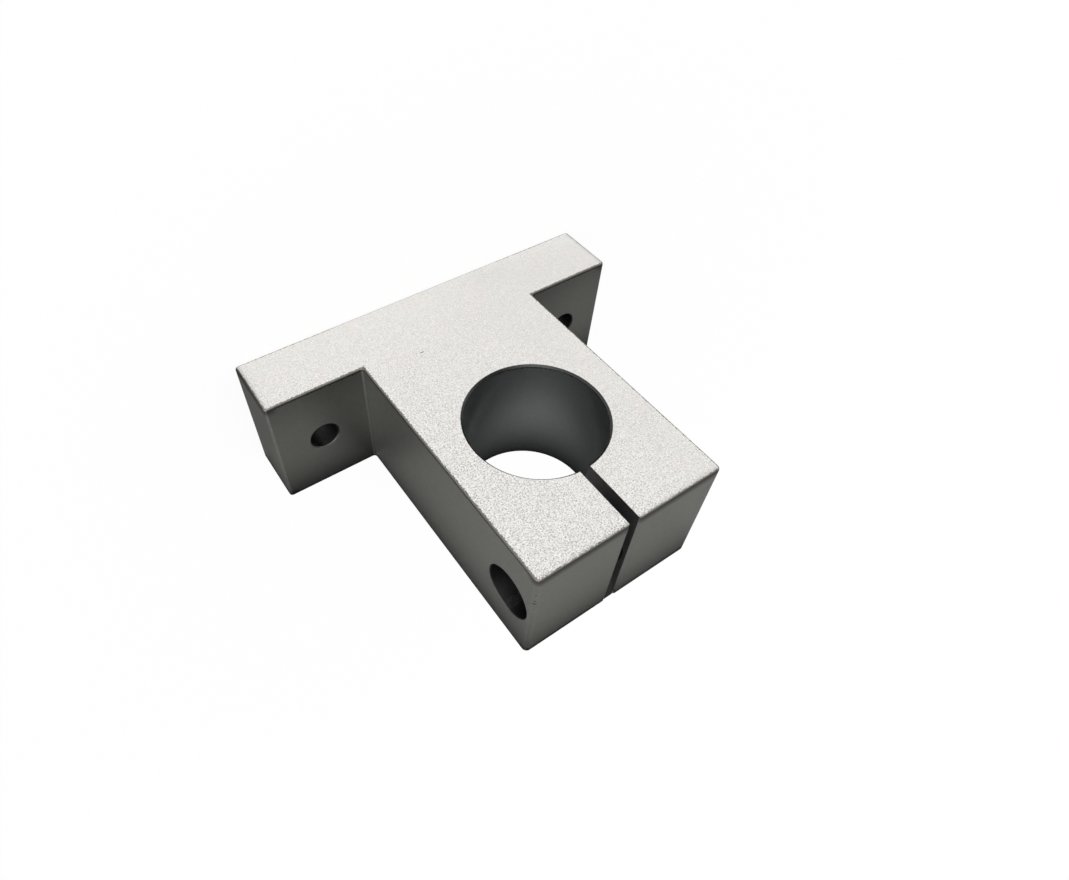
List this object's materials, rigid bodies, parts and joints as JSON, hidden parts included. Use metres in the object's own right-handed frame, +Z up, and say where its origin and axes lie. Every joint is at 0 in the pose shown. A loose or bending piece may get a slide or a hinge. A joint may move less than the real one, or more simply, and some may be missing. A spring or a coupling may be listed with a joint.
{
  "type": "shaft support block",
  "caption": "T-shaped block that clamps a linear shaft's end: split bore, clamp screw hole across the slit, and a base with mounting holes.",
  "frame": {"origin": "middle of the base's underside", "axes": "+X along the base, towards the ear with the clamp screw's counterbore; +Y along the shaft; +Z up from the base to the split end"},
  "size_m": [0.06, 0.02, 0.051],
  "materials": {
    "anodised_aluminium": "bead blasted and clear anodised, satin"
  },
  "bodies": {
    "root": {"support_block": "anodised_aluminium"}
  },
  "joints": []
}
